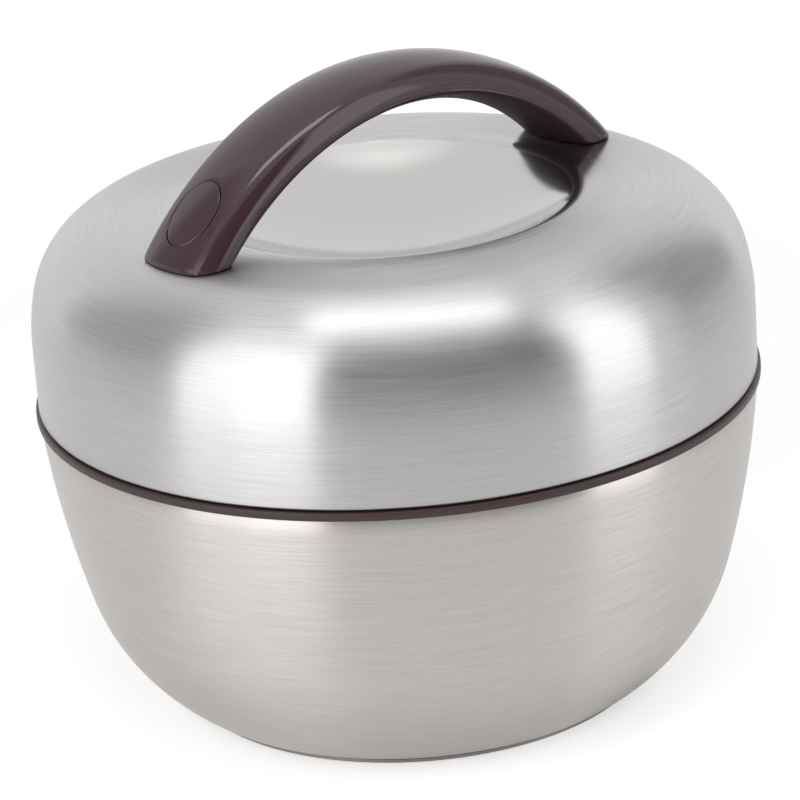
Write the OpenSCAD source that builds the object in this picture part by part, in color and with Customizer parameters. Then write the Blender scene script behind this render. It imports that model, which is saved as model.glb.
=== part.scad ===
// Insulated lunch box: a double-walled steel bowl, a domed lid that locks with a quarter turn,
// and an arched handle screwed over the dish in the top of the lid.
// Millimetres. The origin is the middle of the foot on the table, +Z is up, the handle runs along X.

/* [Body] */
// Radius of the body at its upper edge
body_r = 94.8; // [88:0.2:104]
// Height of the body's upper edge above the table
mouth_z = 81.4; // [76:0.2:90]
// Lean of the wall at its upper edge, in degrees from upright
wall_lean = 4.8; // [3.5:0.1:6]
// Radius of the long curve of the side
side_curve = 270; // [250:5:310]
// Radius of the heel curve that turns the side under
heel_curve = 54; // [48:0.5:58]
// Radius of the body at its lower edge
heel_r = 64.2; // [60:0.2:68]
// Height of the foot ring
foot_h = 1.9; // [1.4:0.1:3]
// Setback of the foot ring from the lower edge of the body
foot_setback = 2.2; // [1:0.1:5]
// Width of the flat foot that stands on the table
foot_w = 8; // [4:0.5:14]
// Thickness of the steel sheet
sheet = 0.6; // [0.4:0.05:0.8]

/* [Liner and tray] */
// Thickness of the foam in the wall of the body
wall_foam = 13; // [10:0.5:15]
// Depth of the tray ledge below the body's upper edge
ledge_drop = 3; // [1.5:0.1:6]
// Depth of the food tray
tray_depth = 30; // [20:1:36]
// Inside corner of the food tray
tray_corner = 9; // [5:0.5:14]
// Side gap between the tray's wall and the liner
tray_gap = 1.2; // [0.8:0.1:2]

/* [Collar and lock] */
// Height of the visible ring at the seam
ring_h = 2.1; // [1.8:0.1:5]
// How far the ring stands out past the body
ring_proud = 0.8; // [0.2:0.1:2]
// Height of the neck above the ring
neck_h = 10.9; // [10:0.1:14]
// Wall of the neck
neck_wall = 3; // [2:0.1:4]
// Length of the spigot that holds the body's upper edge
spigot_h = 7; // [4:0.5:12]
// Wall of the spigot
spigot_wall = 2.2; // [1.5:0.1:3]
// Number of lock lugs on the neck, and on the lid
lug_count = 4; // [3:1:4]
// Angle that one lug covers
lug_span = 34; // [26:1:36]
// Height of one lug
lug_h = 3; // [2.4:0.1:3.2]
// How far a lug stands out
lug_reach = 2.6; // [1.8:0.1:3]
// Turn of the lid from open to locked
lock_turn = 40; // [36:1:42]
// Angle that the stop under each lug covers
stop_span = 4; // [3:0.5:5]
// Angle left between a lug of the locked lid and its stop
stop_gap = 0.5; // [0.3:0.1:0.8]

/* [Lid] */
// How far the lid stands out past the body
lid_proud = 0; // [-0.2:0.1:0.6]
// Gap that shows between the ring and the lid
seam_gap = 0.4; // [0.3:0.1:1]
// Height of the upright part of the lid's wall
lid_wall_h = 17.3; // [15:0.1:21]
// Radius of the curve above the upright wall
lid_curve = 55; // [50:1:64]
// Lean at which that curve meets the shoulder, in degrees from upright
lid_lean = 15; // [12:0.5:18]
// Radius of the shoulder
shoulder_curve = 23.5; // [20:0.5:26]
// Slope of the top towards the dish, in degrees
top_slope = 1.5; // [1:0.1:3]
// Width of the top between the shoulder and the dish
top_w = 18.8; // [17:0.2:23]
// Radius of the rolled lip of the dish
lip_curve = 6; // [4:0.5:8]
// Depth of the dish
dish_depth = 15; // [11:0.5:17]
// Width of the hem turned in under the lid's wall
hem_w = 2.2; // [1.5:0.1:2.6]
// Wall of the lid's skirt
skirt_wall = 2.4; // [2:0.1:3]
// Thickness of the web that carries the gasket
web_t = 4.6; // [4.2:0.1:6]
// Width of the gasket
gasket_w = 3.8; // [3:0.1:4.5]
// Depth of the gasket groove
groove_d = 2.5; // [2:0.1:2.8]
// Foam between the dish and the ceiling of the lid
lid_foam = 8; // [5:0.5:9]

/* [Handle] */
// Height of the handle's crown above its feet
handle_rise = 36.1; // [33:0.1:40]
// How far the tip of each foot reaches past the inner edge of the shoulder
tip_out = 3.2; // [0:0.1:4]
// Width of the lower half of the handle
handle_w = 26.2; // [24:0.2:30]
// Setback of the upper half at the crease
crease = 0.3; // [0.2:0.1:0.8]
// Rise of the crowned top across the handle
crown_rise = 2.6; // [2:0.05:4.2]
// Radius of the rounded upper edges
edge_curve = 5.2; // [4:0.1:6]
// Upright side of the upper half below its rounded edge
edge_drop = 0.5; // [0.3:0.1:0.8]
// Upright side of the lower half above its rounded edge
side_drop = 0.7; // [0.5:0.05:2]
// Rise of the rounded underside across the handle
under_rise = 3.4; // [2.6:0.05:4.2]
// Radius of the rounded lower edges
lower_edge = 2.5; // [2:0.1:3]
// Wall of the hollow handle
handle_wall = 1.8; // [1.4:0.1:2]
// Thickness of the pad under each foot
pad_t = 0.6; // [0.4:0.1:1.2]
// Distance of a screw from the outer tip of its foot
screw_inset = 11.3; // [10:0.1:12]
// Radius of the well over a screw
well_r = 7.2; // [6.2:0.1:7.4]
// Handle left under a screw's washer
well_floor_t = 4.2; // [3.6:0.1:5]

/* [Fixings and clearances] */
// Radius of a screw's shank
screw_r = 2; // [1.5:0.25:2.5]
// Radius of a screw's head
head_r = 3.8; // [3.4:0.1:4.2]
// Height of a screw's head
head_h = 2.4; // [1.8:0.1:2.6]
// Radius of a washer
washer_r = 4.5; // [4.3:0.1:4.8]
// Thickness of a washer
washer_t = 0.8; // [0.5:0.1:1]
// Radius of a nut plate
plate_r = 8; // [6:0.5:9]
// Thickness of a nut plate
plate_t = 1.5; // [1:0.1:2.5]
// Radius of the threaded boss under a nut plate
boss_r = 4; // [3.5:0.1:5]
// Height of that boss
boss_h = 5; // [3:0.5:7]
// Gap between layers that stay together
layer_gap = 0.2; // [0.1:0.05:0.3]
// Gap between pieces that slide past each other
run_gap = 0.4; // [0.3:0.05:0.5]
// Gap under a piece that only rests on its seat
seat_gap = 0.25; // [0.2:0.05:0.4]
// Hairline between two moulded halves
hairline = 0.1; // [0.05:0.05:0.2]

/* [Hidden] */
$fn = 128;
// Largest distance between an arc and its chords
chord_error = 0.03;
// Extra length of a cutting shape past the face that it cuts
past = 1;

// Points along an arc round c, from angle a to angle b
function arc(c, r, a, b) =
    let (n = max(2, ceil(abs(b - a) / (2 * acos(1 - chord_error / r)))))
    [for (i = [0 : n]) c + r * [cos(a + (b - a) * i / n), sin(a + (b - a) * i / n)]];

// Where two circles meet, on the left of the way from a to b
function meet(a, ra, b, rb) =
    let (d = norm(b - a), x = (d * d + ra * ra - rb * rb) / (2 * d), u = (b - a) / d)
    a + x * u + sqrt(ra * ra - x * x) * [-u[1], u[0]];

// Radius of an arc that rises by rise over the width w
function across(w, rise) = (pow(w / 2, 2) + pow(rise, 2)) / (2 * rise);

function reversed(list) = [for (i = [len(list) - 1 : -1 : 0]) list[i]];

// Body: the long side curve is tangent to the heel curve, which ends at the foot
side_c = [body_r - side_curve * cos(wall_lean), mouth_z + side_curve * sin(wall_lean)];
heel_c = meet(side_c, side_curve - heel_curve, [heel_r, foot_h], heel_curve);
heel_turn = atan2(heel_c[1] - side_c[1], heel_c[0] - side_c[0]);
foot_r = heel_r - foot_setback;
panel_r = foot_r - foot_w;

// Angle on the side curve, drawn in by inset, at a height z
function side_angle(inset, z) = -asin((side_c[1] - z) / (side_curve - inset));

// Outline of the body drawn in by inset, from the axis at the floor to the height top
function body_outline(inset, top) =
    let (floor_z = foot_h + inset, r = heel_curve - inset)
    concat(
        [[0, floor_z]],
        arc(heel_c, r, -asin((heel_c[1] - floor_z) / r), heel_turn),
        arc(side_c, side_curve - inset, heel_turn, side_angle(inset, top))
    );

// Radial stack at the mouth, from the lid inwards
lid_r = body_r + lid_proud;
ring_r = body_r + ring_proud;
skirt_out = lid_r - sheet - layer_gap;
skirt_in = skirt_out - skirt_wall;
neck_out = skirt_in - run_gap - lug_reach;
neck_in = neck_out - neck_wall;
liner_neck_r = neck_in - layer_gap - sheet;
rim_r = neck_out - run_gap;

// Heights at the mouth
ring_top = mouth_z + ring_h;
neck_top = ring_top + neck_h;
rim_top = neck_top + sheet;
lid_z = ring_top + seam_gap;
lug_top = neck_top - lug_h - run_gap;
web_z = rim_top + 2 * run_gap;
web_top = web_z + web_t;
groove_top = web_z + groove_d;

// Liner and tray
liner_out = sheet + wall_foam;
liner_in = liner_out + sheet;
ledge_z = mouth_z - ledge_drop;
tray_out = liner_in + tray_gap;
tray_z = ledge_z + seat_gap;
tray_floor = tray_z - tray_depth;
tray_rim_r = liner_neck_r - run_gap;
tray_corner_out = tray_corner + sheet;
tray_c = [
    side_c[0] + sqrt(pow(side_curve - tray_out - tray_corner_out, 2)
        - pow(side_c[1] - tray_floor - tray_corner_out, 2)),
    tray_floor + tray_corner_out
];
tray_turn = atan2(tray_c[1] - side_c[1], tray_c[0] - side_c[0]);

// Outline of the tray drawn in by inset, from the axis at the floor to the height top
function tray_outline(inset, top) =
    concat(
        [[0, tray_floor + inset]],
        arc(tray_c, tray_corner_out - inset, -90, tray_turn),
        arc(side_c, side_curve - tray_out - inset, tray_turn, side_angle(tray_out + inset, top))
    );

// Gasket, centred over the flat part of the liner's rim
gasket_r = (liner_neck_r + rim_r) / 2;
groove_in = gasket_r - gasket_w / 2 - run_gap;
groove_out = gasket_r + gasket_w / 2 + run_gap;
gasket_top = groove_top - seat_gap;
gasket_lip_r = gasket_w / 3;
gasket_z = rim_top + seat_gap;
web_in = groove_in - skirt_wall;

// Lid: an upright wall, two curves, a nearly flat top, a rolled lip and a round dish
wall_top = lid_z + lid_wall_h;
lid_c = [lid_r - lid_curve, wall_top];
shoulder_c = lid_c + (lid_curve - shoulder_curve) * [cos(lid_lean), sin(lid_lean)];
top_normal = [sin(top_slope), cos(top_slope)];
brow = shoulder_c + shoulder_curve * top_normal;
function top_z(r) = brow[1] + (brow[0] - r) * tan(top_slope);
dish_r = brow[0] - top_w;
lip_c = [dish_r, top_z(dish_r)] - lip_curve * top_normal;
dish_z = top_z(dish_r) - dish_depth;
dish_drop = lip_c[1] - dish_z;
dish_curve = (pow(lip_c[0], 2) + pow(dish_drop, 2) - pow(lip_curve, 2)) / (2 * (lip_curve + dish_drop));
dish_c = [0, dish_z + dish_curve];
dish_turn = atan2(lip_c[0], dish_c[1] - lip_c[1]);

// Outline of the lid drawn in by inset, from the axis at the height bottom up and over to the dish
function lid_outline(inset, bottom) =
    concat(
        [[0, bottom], [lid_r - inset, bottom]],
        arc(lid_c, lid_curve - inset, 0, lid_lean),
        arc(shoulder_c, shoulder_curve - inset, lid_lean, 90 - top_slope),
        arc(lip_c, lip_curve - inset, 90 - top_slope, 90 + dish_turn),
        arc(dish_c, dish_curve + inset, 270 + dish_turn, 270)
    );

// Ceiling of the lid
ceiling_z = dish_z - sheet - lid_foam - sheet;
ceiling_rise = ceiling_z - web_top;
flange_in = web_in - skirt_wall;
flange_out = skirt_out - skirt_wall;
ceiling_r = flange_in - ceiling_rise;
ceiling_shift = sheet * tan(22.5);

// Handle: an upper and a lower half that part just below the rounded edge
crown_z = brow[1] + pad_t + handle_rise;
handle_reach = brow[0] + tip_out;
arch_r = across(2 * handle_reach, handle_rise);
arch_z = crown_z - arch_r;
upper_w = handle_w - 2 * crease;
crown_curve = across(upper_w, crown_rise);
crown_x = arch_r - crown_curve;
edge_y = upper_w / 2 - edge_curve;
edge_x = crown_x + sqrt(pow(crown_curve - edge_curve, 2) - pow(edge_y, 2));
edge_turn = atan2(edge_y, edge_x - crown_x);
part_x = edge_x - edge_drop;
under_curve = across(handle_w, under_rise);
corner_y = handle_w / 2 - lower_edge;
corner_x = part_x - side_drop;
under_x = corner_x + sqrt(pow(under_curve - lower_edge, 2) - pow(corner_y, 2));
corner_turn = atan2(corner_y, under_x - corner_x);
// Half of the arch's sweep, far enough to sink its ends below the top of the lid
arch_sweep = acos((top_z(dish_r) - lid_wall_h - arch_z) / arch_r);

// Section of the upper half drawn in by inset, down to the radius base
function upper_outline(inset, base) =
    concat(
        [[base, inset - upper_w / 2]],
        arc([edge_x, -edge_y], edge_curve - inset, -90, -edge_turn),
        arc([crown_x, 0], crown_curve - inset, -edge_turn, edge_turn),
        arc([edge_x, edge_y], edge_curve - inset, edge_turn, 90),
        [[base, upper_w / 2 - inset]]
    );

// Section of the lower half drawn in by inset, up to the radius base
function lower_outline(inset, base) =
    concat(
        [[base, handle_w / 2 - inset]],
        arc([corner_x, corner_y], lower_edge - inset, 90, 180 - corner_turn),
        arc([under_x, 0], under_curve - inset, 180 - corner_turn, 180 + corner_turn),
        arc([corner_x, -corner_y], lower_edge - inset, 180 + corner_turn, 270),
        [[base, inset - handle_w / 2]]
    );

// Fixings through the feet
screw_x = handle_reach - screw_inset;
well_floor = top_z(screw_x) + pad_t + well_floor_t;
head_z = well_floor + washer_t;
head_top = head_z + head_h;
plate_top = top_z(screw_x + plate_r) - sheet - layer_gap;
boss_z = plate_top - plate_t - boss_h;
shank_gap = layer_gap / 2;
hollow_sweep = asin((screw_x - well_r - 2 * handle_wall) / arch_r);

steel_colour = [0.74, 0.73, 0.72];
brown_colour = [0.29, 0.24, 0.24];
foam_colour = [0.93, 0.87, 0.66];
silicone_colour = [0.88, 0.87, 0.84];

// A slab along the slope of the lid's top under one foot, from the height low to high above it
module foot_slab(side, low, high) {
    translate([side * brow[0], 0, brow[1]])
        rotate([0, side * top_slope, 0])
            translate([side > 0 ? -brow[0] : -lid_r, -handle_w, low])
                cube([brow[0] + lid_r, 2 * handle_w, high - low]);
}

// A section swept along the arch of the handle, to an angle of sweep on each side of the crown
module along_arch(sweep) {
    translate([0, 0, arch_z])
        rotate([90, 0, 0])
            rotate_extrude(angle = 2 * sweep, start = 90 - sweep)
                children();
}

// Whole section of the handle, drawn in by inset
module handle_section(inset) {
    polygon(upper_outline(inset, part_x - hairline));
    polygon(lower_outline(inset, part_x));
}

// What is drawn for the foot on +X, placed at both screws
module at_screws() {
    for (side = [-1, 1])
        translate([side * screw_x, 0, 0])
            children();
}

// A row of equal lugs round the axis, the first one centred on the angle from
module lugs(from, span, r0, r1, z0, height) {
    for (i = [0 : lug_count - 1])
        rotate([0, 0, from - span / 2 + i * 360 / lug_count])
            rotate_extrude(angle = span)
                translate([r0, z0])
                    square([r1 - r0, height]);
}

module outer_shell() {
    weld_lap = foot_w / 2;
    color(steel_colour)
        rotate_extrude()
            difference() {
                polygon(concat(body_outline(0, mouth_z), [[0, mouth_z]]));
                polygon(concat(body_outline(sheet, mouth_z + past), [[0, mouth_z + past]]));
                square([panel_r - foot_h - weld_lap, foot_h + sheet + past]);
            }
}

// The centre of the disc is raised off the table and laps the turned-in floor of the outer shell
module base_cap() {
    step_r = panel_r - foot_h;
    step_shift = sheet * tan(22.5);
    color(steel_colour)
        rotate_extrude()
            polygon([
                [0, foot_h],
                [0, foot_h - sheet],
                [step_r, foot_h - sheet],
                [panel_r, 0],
                [foot_r, 0],
                [foot_r, foot_h],
                [foot_r - sheet, foot_h],
                [foot_r - sheet, sheet],
                [panel_r + step_shift, sheet],
                [step_r + step_shift, foot_h]
            ]);
}

module body_insulation() {
    foam_out = sheet + layer_gap;
    foam_in = liner_out - layer_gap;
    foam_top = ledge_z - sheet - layer_gap;
    spigot_in = foam_out + spigot_wall + layer_gap;
    color(foam_colour)
        rotate_extrude()
            difference() {
                polygon(concat(body_outline(foam_out, foam_top), [[0, foam_top]]));
                polygon(concat(body_outline(foam_in, foam_top + past), [[0, foam_top + past]]));
                intersection() {
                    translate([0, mouth_z - spigot_h - layer_gap])
                        square([ring_r, spigot_h]);
                    difference() {
                        square([ring_r, mouth_z]);
                        polygon(concat(body_outline(spigot_in, mouth_z), [[0, mouth_z]]));
                    }
                }
            }
}

// Bowl, tray ledge, neck and the rim that is turned out over the collar
module inner_liner() {
    ledge_under = ledge_z - sheet;
    color(steel_colour)
        rotate_extrude()
            polygon(concat(
                body_outline(liner_out, ledge_under),
                [
                    [liner_neck_r + sheet, ledge_under],
                    [liner_neck_r + sheet, neck_top],
                    [rim_r, neck_top],
                    [rim_r, rim_top],
                    [liner_neck_r, rim_top],
                    [liner_neck_r, ledge_z]
                ],
                reversed(body_outline(liner_in, ledge_z))
            ));
}

// The visible ring, the neck with its lock lugs, and the spigot inside the outer shell
module collar() {
    spigot_out = sheet + layer_gap;
    stop_z = lug_top - lug_h;
    color(brown_colour) {
        rotate_extrude() {
            translate([neck_in, mouth_z])
                square([ring_r - neck_in, ring_h]);
            translate([neck_in, mouth_z])
                square([neck_wall, neck_top - mouth_z]);
            intersection() {
                translate([0, mouth_z - spigot_h])
                    square([ring_r, spigot_h + past]);
                difference() {
                    polygon(concat(body_outline(spigot_out, ring_top), [[0, ring_top]]));
                    polygon(concat(
                        body_outline(spigot_out + spigot_wall, ring_top + past),
                        [[0, ring_top + past]]
                    ));
                }
            }
        }
        lugs(180 / lug_count, lug_span, neck_out - past, neck_out + lug_reach, neck_top - lug_h, lug_h);
        lugs(
            lock_turn + stop_gap + (lug_span + stop_span) / 2, stop_span,
            neck_out - past, neck_out + lug_reach - layer_gap, stop_z, neck_top - lug_h / 2 - stop_z
        );
    }
}

module food_tray() {
    color(steel_colour)
        rotate_extrude()
            polygon(concat(
                tray_outline(0, tray_z),
                [[tray_rim_r, tray_z], [tray_rim_r, tray_z + sheet]],
                reversed(tray_outline(sheet, tray_z + sheet))
            ));
}

// A flat ring held in the groove, with a round lip that seals on the liner's rim
module lid_gasket() {
    lip_z = gasket_z + gasket_lip_r;
    color(silicone_colour)
        rotate_extrude() {
            translate([gasket_r - gasket_w / 2, lip_z])
                square([gasket_w, gasket_top - lip_z]);
            translate([gasket_r, lip_z])
                circle(gasket_lip_r);
        }
}

module lid_shell() {
    color(steel_colour)
        difference() {
            rotate_extrude()
                difference() {
                    polygon(lid_outline(0, lid_z));
                    difference() {
                        polygon(lid_outline(sheet, lid_z - past));
                        translate([lid_r - hem_w, lid_z])
                            square([hem_w, sheet]);
                    }
                }
            at_screws()
                translate([0, 0, boss_z])
                    cylinder(r = screw_r + shank_gap, h = crown_z - boss_z);
        }
}

// Skirt with the lock lugs, and the web with the gasket groove on its underside
module lid_ring() {
    skirt_z = lid_z + sheet + layer_gap;
    color(brown_colour) {
        rotate_extrude()
            difference() {
                union() {
                    translate([skirt_in, skirt_z])
                        square([skirt_wall, web_top - skirt_z]);
                    translate([web_in, web_z])
                        square([skirt_in + past - web_in, web_t]);
                }
                translate([groove_in, web_z - past])
                    square([groove_out - groove_in, groove_d + past]);
            }
        lugs(0, lug_span, skirt_in - lug_reach, skirt_in + past, lug_top - lug_h, lug_h);
    }
}

// The steel ceiling of the lid: a flange on the web and a raised middle
module lid_inner_panel() {
    color(steel_colour)
        rotate_extrude()
            polygon([
                [0, ceiling_z],
                [ceiling_r, ceiling_z],
                [flange_in, web_top],
                [flange_out, web_top],
                [flange_out, web_top + sheet],
                [flange_in + ceiling_shift, web_top + sheet],
                [ceiling_r + ceiling_shift, ceiling_z + sheet],
                [0, ceiling_z + sheet]
            ]);
}

module lid_insulation() {
    rise = sheet + layer_gap;
    pocket_z = plate_top - plate_t - layer_gap;
    color(foam_colour)
        difference() {
            rotate_extrude()
                difference() {
                    polygon(lid_outline(rise, web_top + rise));
                    polygon([
                        [0, 0],
                        [flange_in + 2 * ceiling_shift, 0],
                        [flange_in + 2 * ceiling_shift, web_top + rise],
                        [ceiling_r + 2 * ceiling_shift, ceiling_z + rise],
                        [0, ceiling_z + rise]
                    ]);
                }
            at_screws() {
                translate([0, 0, pocket_z])
                    cylinder(r = plate_r + layer_gap, h = crown_z - pocket_z);
                translate([0, 0, boss_z - past])
                    cylinder(r = boss_r + layer_gap, h = crown_z - boss_z);
            }
        }
}

// What both halves of the handle lose at the feet: the lid's top, the wells and the screw holes
module foot_cuts() {
    foot_slab(-1, -lid_wall_h * 2, pad_t + hairline);
    foot_slab(1, -lid_wall_h * 2, pad_t + hairline);
    at_screws() {
        translate([0, 0, well_floor])
            cylinder(r = well_r, h = crown_z - well_floor);
        translate([0, 0, boss_z])
            cylinder(r = screw_r + shank_gap, h = crown_z - boss_z);
    }
}

module handle_upper() {
    color(brown_colour)
        difference() {
            along_arch(arch_sweep)
                polygon(upper_outline(0, part_x));
            along_arch(hollow_sweep)
                polygon(upper_outline(handle_wall, part_x - past));
            foot_cuts();
        }
}

module handle_lower() {
    color(brown_colour)
        difference() {
            along_arch(arch_sweep)
                polygon(lower_outline(0, part_x - hairline));
            along_arch(hollow_sweep)
                polygon(lower_outline(handle_wall, part_x + past));
            foot_cuts();
        }
}

// A thin pad that keeps water out of the screw hole, a little inside the outline of the foot
module foot_pad(side) {
    color(brown_colour)
        difference() {
            intersection() {
                along_arch(arch_sweep)
                    handle_section(crease);
                foot_slab(side, hairline, pad_t);
            }
            translate([side * screw_x, 0, boss_z])
                cylinder(r = screw_r + shank_gap, h = crown_z - boss_z);
        }
}

module foot_pad_front() {
    foot_pad(-1);
}

module foot_pad_rear() {
    foot_pad(1);
}

// A cover is the part of the handle that its well took away, less a pocket for the screw's head
module screw_cover(side) {
    pocket_r = washer_r + layer_gap;
    color(brown_colour)
        difference() {
            intersection() {
                along_arch(arch_sweep)
                    handle_section(0);
                translate([side * screw_x, 0, well_floor + hairline])
                    cylinder(r = well_r - layer_gap, h = crown_z - well_floor);
            }
            translate([side * screw_x, 0, well_floor])
                cylinder(r = pocket_r, h = head_top + layer_gap - well_floor);
        }
}

module screw_cover_front() {
    screw_cover(-1);
}

module screw_cover_rear() {
    screw_cover(1);
}

module handle_screws() {
    color(steel_colour)
        at_screws() {
            translate([0, 0, head_z])
                cylinder(r = head_r, h = head_h);
            translate([0, 0, boss_z])
                cylinder(r = screw_r, h = head_z + past - boss_z);
        }
}

module handle_washers() {
    color(steel_colour)
        at_screws()
            translate([0, 0, well_floor])
                difference() {
                    cylinder(r = washer_r, h = washer_t);
                    translate([0, 0, -past])
                        cylinder(r = screw_r + shank_gap, h = washer_t + 2 * past);
                }
}

module handle_nut_plates() {
    color(steel_colour)
        at_screws()
            difference() {
                union() {
                    translate([0, 0, plate_top - plate_t])
                        cylinder(r = plate_r, h = plate_t);
                    translate([0, 0, boss_z])
                        cylinder(r = boss_r, h = plate_top - boss_z);
                }
                translate([0, 0, boss_z - past])
                    cylinder(r = screw_r + shank_gap, h = crown_z - boss_z);
            }
}

outer_shell();
base_cap();
body_insulation();
inner_liner();
collar();
food_tray();
lid_gasket();
lid_shell();
lid_ring();
lid_inner_panel();
lid_insulation();
handle_upper();
handle_lower();
foot_pad_front();
foot_pad_rear();
screw_cover_front();
screw_cover_rear();
handle_screws();
handle_washers();
handle_nut_plates();
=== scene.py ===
# %% [markdown]
# # An apple-shaped lunch box in brushed steel
#
# The real object is a double-walled steel bowl with a domed lid of the same width, a brown
# plastic ring in the seam and an arched handle over a polished dish. The CAD model already has
# every piece in its place. This lesson models the pieces again with smooth surfaces, and gives
# them the finishes that the eye knows: brushed steel, polished steel and moulded plastic.

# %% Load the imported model
import math

import bmesh
import bpy
from mathutils import Matrix, Vector


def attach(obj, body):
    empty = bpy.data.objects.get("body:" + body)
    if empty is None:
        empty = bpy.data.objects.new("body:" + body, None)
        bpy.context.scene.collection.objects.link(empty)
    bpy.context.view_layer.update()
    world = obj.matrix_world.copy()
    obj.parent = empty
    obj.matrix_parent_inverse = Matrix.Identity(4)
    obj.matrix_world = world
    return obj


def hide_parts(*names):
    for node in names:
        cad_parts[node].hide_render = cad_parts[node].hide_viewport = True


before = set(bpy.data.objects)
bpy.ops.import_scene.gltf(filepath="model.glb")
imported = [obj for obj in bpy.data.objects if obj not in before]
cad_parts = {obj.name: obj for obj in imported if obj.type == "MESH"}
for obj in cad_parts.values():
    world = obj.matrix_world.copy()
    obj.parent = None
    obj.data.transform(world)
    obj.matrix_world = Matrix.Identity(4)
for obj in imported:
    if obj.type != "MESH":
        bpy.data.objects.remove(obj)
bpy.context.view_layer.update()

scene = bpy.context.scene
scene.view_settings.view_transform = "Standard"

# %% [markdown]
# ## The camera
#
# A catalogue picture is taken from about a metre away with a long lens, so that round things
# stay round. This one looks down on the lid by 21 degrees. The horizon leans a little, as it did
# in the picture, so the camera is turned about its own axis too.

# %% Camera
SENSOR_MM = 36.0
LENS_MM = 170.0
CAMERA_PLACE = (-0.6079, -0.7105, 0.4329)
CAMERA_TURN = (69.053, 3.781, -42.005)

lens = bpy.data.cameras.new("photo_camera")
lens.sensor_width = SENSOR_MM
lens.lens = LENS_MM
camera = bpy.data.objects.new("photo_camera", lens)
camera.location = CAMERA_PLACE
camera.rotation_euler = [math.radians(angle) for angle in CAMERA_TURN]
scene.collection.objects.link(camera)
scene.camera = camera
print("camera at", round(camera.location.length, 3), "m from the foot of the box")

# %% [markdown]
# ## Colours and nodes
#
# Colours are picked on a screen, so they are written as sRGB hex values, and one function
# turns them into the linear numbers that a shader wants. A second function adds a node, sets its
# values and links its inputs, and three more add what several materials share, so each material
# below reads as a list of what it is made of.

# %% Helpers for materials
def colour(hex_value):
    """The linear colour of an sRGB hex value such as "#c8c5c0"."""
    channels = [int(hex_value[i:i + 2], 16) / 255 for i in (1, 3, 5)]
    return [c / 12.92 if c <= 0.04045 else ((c + 0.055) / 1.055) ** 2.4 for c in channels] + [1.0]


def add(tree, kind, settings=None, links=None):
    """Add a node: settings go to its sockets or its own options, links join its inputs."""
    node = tree.nodes.new(kind)
    for name, value in (settings or {}).items():
        if isinstance(name, int) or name in node.inputs:
            node.inputs[name].default_value = value
        else:
            setattr(node, name, value)
    for name, socket in (links or {}).items():
        tree.links.new(socket, node.inputs[name])
    return node


def remap(tree, value, source, target=(0.0, 1.0), ease=False):
    """Map a value from one range to another, straight or eased at both ends; gives a socket."""
    node = add(
        tree, "ShaderNodeMapRange",
        {
            "From Min": source[0], "From Max": source[1], "To Min": target[0], "To Max": target[1],
            "interpolation_type": "SMOOTHSTEP" if ease else "LINEAR"
        },
        {"Value": value}
    )
    return node.outputs["Result"]


def mix_tones(tree, dark, light, share):
    """Mix two hex colours by a share; gives a socket."""
    node = add(
        tree, "ShaderNodeMix", {"data_type": "RGBA", 6: colour(dark), 7: colour(light)}, {0: share}
    )
    return node.outputs[2]


def soft_noise(tree, size, detail):
    """Noise of one grain size, in metres; gives a socket."""
    place = add(tree, "ShaderNodeTexCoord")
    node = add(
        tree, "ShaderNodeTexNoise",
        {"Scale": 1 / size, "Detail": detail}, {"Vector": place.outputs["Object"]}
    )
    return node.outputs["Fac"]


def start_material(name):
    """A new material, its node tree and its Principled shader."""
    material = bpy.data.materials.new(name)
    material.use_nodes = True
    return material, material.node_tree, material.node_tree.nodes["Principled BSDF"]


print("white is", [round(c, 3) for c in colour("#ffffff")])

# %% [markdown]
# ## Brushed stainless steel
#
# The bowl and the lid were spun and then brushed with an abrasive belt while they turned, so
# fine scratches run round them. Light that falls across the scratches spreads up and down, and
# light along them hardly spreads, so a lamp shows as a tall bar with soft ends. An anisotropic
# shader does just that, if it knows which way the scratches run. The pieces carry a UV map named
# grain, with U round the axis and V along the profile in metres, and the tangent comes from it.
#
# Real scratches are about 0.05 mm wide, too fine for this picture, so they are drawn about
# 0.24 mm wide and 18 mm long. The pattern is sampled on a circle, so it has no seam.

# %% Grain that runs round the axis
BRUSH_WIDTH = 0.00024
BRUSH_LENGTH = 0.018
BRUSH_DEPTH = 0.00002
BRUSH_RANGE = (0.25, 0.75)
ACROSS_GRAIN = 0.25
SHELL_RADIUS = 0.095


def off_axis(tree):
    """Where a point lies from the Z axis, with no height; gives a socket."""
    place = add(tree, "ShaderNodeTexCoord")
    flat = add(
        tree, "ShaderNodeVectorMath",
        {"operation": "MULTIPLY", 1: (1, 1, 0)}, {0: place.outputs["Object"]}
    )
    return flat.outputs[0]


def brush_marks(tree, width, length):
    """Noise drawn out into long thin marks round the axis; gives a socket."""
    unit = add(tree, "ShaderNodeVectorMath", {"operation": "NORMALIZE"}, {0: off_axis(tree)})
    lap = add(
        tree, "ShaderNodeVectorMath",
        {"operation": "SCALE", "Scale": SHELL_RADIUS / length}, {0: unit.outputs[0]}
    )
    wrap = add(tree, "ShaderNodeUVMap", {"uv_map": "grain"})
    split = add(tree, "ShaderNodeSeparateXYZ", links={0: wrap.outputs["UV"]})
    climb = add(
        tree, "ShaderNodeMath", {"operation": "MULTIPLY", 1: 1 / width}, {0: split.outputs["Y"]}
    )
    lift = add(tree, "ShaderNodeCombineXYZ", links={"Z": climb.outputs[0]})
    spot = add(
        tree, "ShaderNodeVectorMath",
        {"operation": "ADD"}, {0: lap.outputs[0], 1: lift.outputs[0]}
    )
    noise = add(
        tree, "ShaderNodeTexNoise",
        {"Scale": 1.0, "Detail": 2.0, "Roughness": 0.5}, {"Vector": spot.outputs[0]}
    )
    return noise.outputs["Fac"]


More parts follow.
